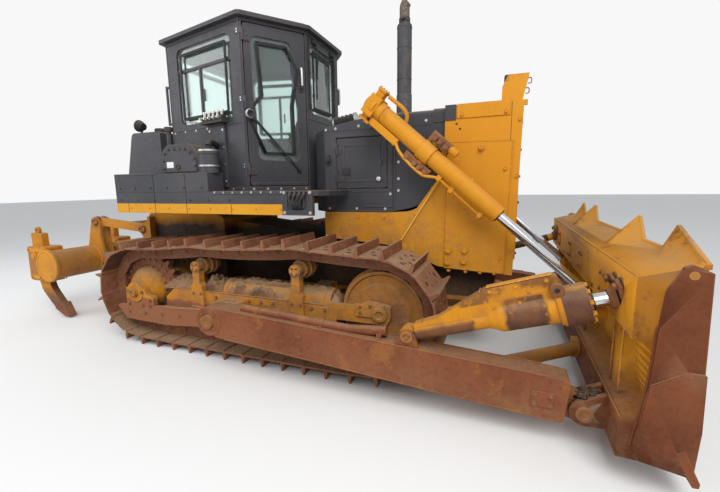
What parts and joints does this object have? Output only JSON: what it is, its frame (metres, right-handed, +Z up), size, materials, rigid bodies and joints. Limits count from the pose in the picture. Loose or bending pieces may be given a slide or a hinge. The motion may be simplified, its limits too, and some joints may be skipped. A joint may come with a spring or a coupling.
{
  "type": "crawler bulldozer",
  "caption": "Crawler bulldozer with a curved straight blade on push arms, a hexagonal glazed cab, an upright exhaust and a rear ripper on parallel links.",
  "frame": {"origin": "middle of the machine's bounding box, on the ground", "axes": "+X forward to the blade, +Y to the machine's left, +Z up"},
  "size_m": [6.7403, 3.64, 3.4796],
  "materials": {
    "yellow_paint": "worn satin enamel with rust at its edges",
    "dark_paint": "satin enamel",
    "rusty_paint": "matt rust with traces of paint",
    "worn_steel": "rusty steel, bright where it rubs",
    "chrome_rod": "polished",
    "glass": "clear, pale green",
    "seat_cover": "matt vinyl",
    "black_plastic": "matt",
    "rubber": "matt",
    "lamp": "gloss housing"
  },
  "bodies": {
    "machine": {"hull": "yellow_paint", "belly_guard": "yellow_paint", "cross_members": "yellow_paint", "deck": "dark_paint", "side_rails": "yellow_paint", "fender_boxes": "dark_paint", "fender_tanks": "dark_paint", "fuel_tank": "dark_paint", "cab": "dark_paint", "cab_windows": "glass", "roof": "dark_paint", "seat": "seat_cover", "controls": "black_plastic", "grab_rails": "dark_paint", "hood": "dark_paint", "radiator_guard": "yellow_paint", "grille": "dark_paint", "radiator": "dark_paint", "engine": "dark_paint", "exhaust": "dark_paint", "intake_hose": "rubber", "lamps": "lamp", "ripper_mount": "yellow_paint", "track_left": "worn_steel", "track_right": "worn_steel", "sprocket_left": "worn_steel", "sprocket_right": "worn_steel", "final_drive_left": "yellow_paint", "final_drive_right": "yellow_paint", "idler_left": "yellow_paint", "idler_right": "yellow_paint", "rollers_left": "yellow_paint", "rollers_right": "yellow_paint", "track_frame_left": "yellow_paint", "track_frame_right": "yellow_paint"},
    "blade": {"push_arm_left": "rusty_paint", "push_arm_right": "rusty_paint", "blade": "yellow_paint", "cutting_edges": "worn_steel", "inner_braces": "yellow_paint", "tilt_cylinder": "yellow_paint", "tilt_rod": "chrome_rod", "left_brace": "yellow_paint"},
    "lift_barrels": {"lift_barrels": "yellow_paint", "lift_yokes": "yellow_paint"},
    "lift_rods": {"lift_rods": "chrome_rod"},
    "ripper_lower_links": {"ripper_lower_links": "yellow_paint"},
    "ripper_upper_links": {"ripper_upper_links": "yellow_paint"},
    "ripper": {"ripper_beam": "yellow_paint", "shanks": "rusty_paint", "shank_points": "worn_steel"},
    "ripper_barrels": {"ripper_barrels": "yellow_paint"},
    "ripper_rods": {"ripper_rods": "chrome_rod"},
    "cab_door_right": {"door_right": "dark_paint", "door_glass_right": "glass"},
    "cab_door_left": {"door_left": "dark_paint", "door_glass_left": "glass"},
    "engine_door_right": {"engine_door_right": "dark_paint"},
    "engine_door_left": {"engine_door_left": "dark_paint"}
  },
  "joints": [
    {"name": "blade_lift", "type": "hinge", "parent": "machine", "child": "blade", "pos_m": [0.03, 0, 0.485], "axis": [0, -1, 0], "range_deg": [-9, 20]},
    {"name": "lift_swing", "type": "hinge", "parent": "machine", "child": "lift_barrels", "pos_m": [1.78, 0, 1.9], "axis": [0, -1, 0], "range_deg": [-13.84, 29.74]},
    {"name": "lift_slide", "type": "slide", "parent": "lift_barrels", "child": "lift_rods", "axis": [0.7505, 0, -0.6609], "range_m": [-0.75382, 0.34514]},
    {"name": "ripper_lift", "type": "hinge", "parent": "machine", "child": "ripper_lower_links", "pos_m": [-1.78, 0, 0.56], "axis": [0, 1, 0], "range_deg": [-40, 36]},
    {"name": "ripper_level", "type": "hinge", "parent": "ripper_lower_links", "child": "ripper", "pos_m": [-2.65, 0, 0.635], "axis": [0, 1, 0], "range_deg": [-37.52, 41.52]},
    {"name": "upper_link_swing", "type": "hinge", "parent": "machine", "child": "ripper_upper_links", "pos_m": [-1.9, 0, 1.13], "axis": [0, 1, 0], "range_deg": [-41.52, 37.52]},
    {"name": "ripper_barrel_swing", "type": "hinge", "parent": "machine", "child": "ripper_barrels", "pos_m": [-1.765, 0, 1], "axis": [0, -1, 0], "range_deg": [-34.77, 38.48]},
    {"name": "ripper_rod_slide", "type": "slide", "parent": "ripper_barrels", "child": "ripper_rods", "axis": [-0.9657, 0, -0.2598], "range_m": [-0.16737, 0.18558]},
    {"name": "cab_door_right_hinge", "type": "hinge", "parent": "machine", "child": "cab_door_right", "pos_m": [0.08207, -0.89427, 1.655], "axis": [0, 0, -1], "range_deg": [0, 110]},
    {"name": "cab_door_left_hinge", "type": "hinge", "parent": "machine", "child": "cab_door_left", "pos_m": [0.08207, 0.89427, 1.655], "axis": [0, 0, 1], "range_deg": [0, 110]},
    {"name": "engine_door_right_hinge", "type": "hinge", "parent": "machine", "child": "engine_door_right", "pos_m": [0.853, -0.549, 1.62], "axis": [0, 0, -1], "range_deg": [0, 100]},
    {"name": "engine_door_left_hinge", "type": "hinge", "parent": "machine", "child": "engine_door_left", "pos_m": [0.853, 0.549, 1.62], "axis": [0, 0, 1], "range_deg": [0, 100]}
  ],
  "couplings": [
    {"joint": "lift_swing", "follows": "blade_lift", "ratio": 1.4449},
    {"joint": "lift_slide", "follows": "blade_lift", "m_per_rad": -2.1287},
    {"joint": "ripper_level", "follows": "ripper_lift", "ratio": -1},
    {"joint": "upper_link_swing", "follows": "ripper_lift", "ratio": 1},
    {"joint": "ripper_barrel_swing", "follows": "ripper_lift", "ratio": -0.92676},
    {"joint": "ripper_rod_slide", "follows": "ripper_lift", "m_per_rad": -0.26087}
  ]
}
